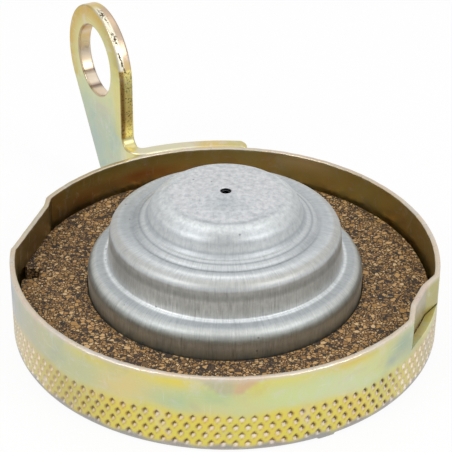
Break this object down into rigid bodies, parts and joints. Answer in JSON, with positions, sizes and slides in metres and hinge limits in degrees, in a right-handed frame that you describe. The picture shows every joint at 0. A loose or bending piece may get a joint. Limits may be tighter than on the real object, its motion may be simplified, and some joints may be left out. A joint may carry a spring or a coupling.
{
  "type": "fuel cap",
  "caption": "Round bayonet fuel-tank cap with knurled sheet-steel skirt, spring-loaded cork-rubber gasket, stepped vent cup and a padlock eye.",
  "frame": {"origin": "centre of the plane on which the closed face rests, on the cap's own axis", "axes": "+Z along the cap's axis from the closed face to the open side; the padlock eye stands out towards azimuth 119.6 degrees, counted from +X towards +Y"},
  "size_m": [0.098, 0.1257, 0.051],
  "materials": {
    "yellow_zinc_steel": "zinc plated and yellow chromated sheet steel",
    "rivet_steel": "bright zinc plated steel",
    "spring_steel": "blued spring steel",
    "plate_steel": "zinc plated and yellow chromated sheet steel, dull",
    "cork_rubber": "cork grains in a black rubber binder",
    "drawn_aluminium": "matt drawn aluminium with fine draw lines",
    "black_rubber": "moulded black rubber",
    "filter_foam": "open filter foam",
    "gauze_brass": "fine woven brass wire"
  },
  "bodies": {
    "shell": {"cap_shell": "yellow_zinc_steel", "padlock_bracket": "yellow_zinc_steel", "centre_rivet": "rivet_steel", "rivet_washer": "rivet_steel", "rivet_retainer": "rivet_steel", "wave_spring": "spring_steel"},
    "slip": {"slip_ring": "plate_steel"},
    "insert": {"pressure_plate": "plate_steel", "gasket": "cork_rubber", "vent_cup": "drawn_aluminium", "baffle_hat": "drawn_aluminium", "cup_seal": "black_rubber", "filter_pad": "filter_foam", "gauze_disc": "gauze_brass"}
  },
  "joints": [
    {"name": "spring_travel", "type": "slide", "parent": "shell", "child": "slip", "axis": [0, 0, 1], "range_m": [-0.0015, 0], "stiffness_N_per_m": 6000, "springref_m": 0.002, "deforming": ["wave_spring"]},
    {"name": "insert_turn", "type": "hinge", "parent": "slip", "child": "insert", "pos_m": [0, 0, 0], "axis": [0, 0, 1], "continuous": true}
  ]
}
